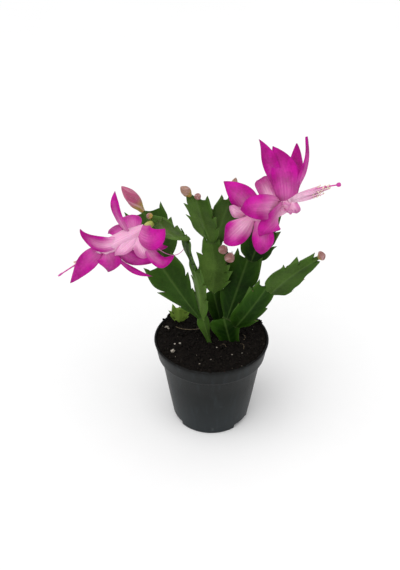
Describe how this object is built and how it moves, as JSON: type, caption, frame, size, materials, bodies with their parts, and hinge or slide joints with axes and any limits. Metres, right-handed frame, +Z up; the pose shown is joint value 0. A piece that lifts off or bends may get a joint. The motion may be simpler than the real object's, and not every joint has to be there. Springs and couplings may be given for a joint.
{
  "type": "potted christmas cactus",
  "caption": "Small flowering christmas cactus in a plastic nursery pot: flat toothed stem segments, open magenta blooms and closed buds.",
  "frame": {"origin": "centre of the pot's underside, on the surface that the pot stands on", "axes": "+Z up; the pictured front looks to -Y; +X to the right as seen from the front"},
  "size_m": [0.1272, 0.0665, 0.1646],
  "materials": {
    "pot": "satin",
    "soil": "matte",
    "stem": "satin",
    "young_stem": "satin",
    "petal": "satin",
    "ovary": "satin",
    "stamens": "matte",
    "style": "satin",
    "bud": "satin"
  },
  "bodies": {
    "root": {"pot": "pot", "soil": "soil", "stem_left": "stem", "stem_middle": "stem", "stem_right": "stem", "stem_young": "young_stem", "bloom_left": "petal", "bloom_left_ovary": "ovary", "bloom_left_stamens": "stamens", "bloom_left_style": "style", "bloom_right": "petal", "bloom_right_ovary": "ovary", "bloom_right_stamens": "stamens", "bloom_right_style": "style", "bud_left_large": "bud", "bud_left_small": "bud", "bud_middle_large": "bud", "bud_middle_small": "bud", "bud_front_upper": "bud", "bud_front_lower": "bud", "bud_back": "bud", "bud_right": "bud"}
  },
  "joints": []
}
